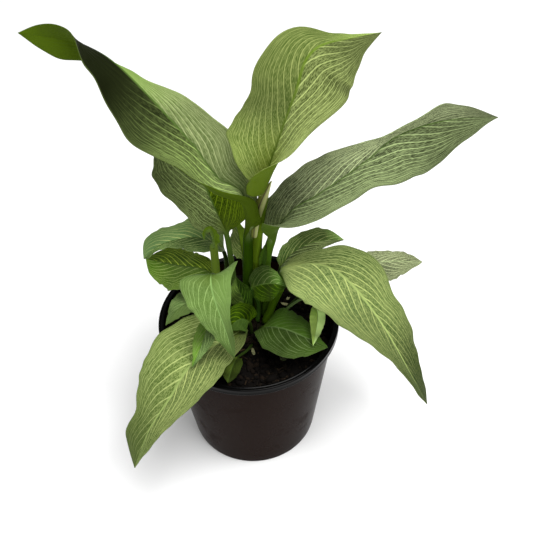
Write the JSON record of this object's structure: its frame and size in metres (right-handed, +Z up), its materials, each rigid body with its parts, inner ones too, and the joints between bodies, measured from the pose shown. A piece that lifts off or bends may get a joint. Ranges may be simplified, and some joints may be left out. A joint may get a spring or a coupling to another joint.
{
  "type": "potted peace lily",
  "caption": "Young peace lily with silver-streaked, fine-veined leaves on slender stalks, growing in a round black plastic nursery pot with a drained base.",
  "frame": {"origin": "middle of the pot's resting face, on the pot's own axis", "axes": "+Z up along the pot's axis; the front of the plant, with the hanging leaves, looks along -Y; +X to its right"},
  "size_m": [0.2238, 0.1345, 0.2787],
  "materials": {
    "black_plastic": "satin",
    "potting_soil": "matte",
    "crown_tissue": "matte",
    "striped_leaf": "satin",
    "pale_leaf": "satin",
    "dark_leaf": "satin",
    "young_leaf": "satin"
  },
  "bodies": {
    "root": {"pot": "black_plastic", "soil": "potting_soil", "root_crown": "crown_tissue", "leaf_tall_left": "striped_leaf", "leaf_tall_back": "striped_leaf", "leaf_tall_right": "striped_leaf", "leaf_behind_left": "striped_leaf", "leaf_left_level": "striped_leaf", "leaf_left_lower": "striped_leaf", "leaf_front_hanging": "striped_leaf", "leaf_front_left": "striped_leaf", "leaf_centre_curled": "striped_leaf", "leaf_right_front": "pale_leaf", "leaf_right_dark": "dark_leaf", "leaf_left_small": "dark_leaf", "leaf_centre_right": "dark_leaf", "leaf_centre_front": "dark_leaf", "leaf_tiny_round": "dark_leaf", "leaf_in_pot_right": "dark_leaf", "leaf_back_small": "young_leaf", "sprout_curled": "young_leaf", "leaf_front_folded": "young_leaf", "leaf_far_right": "young_leaf", "leaf_narrow_right": "young_leaf", "new_shoot": "young_leaf"}
  },
  "joints": []
}
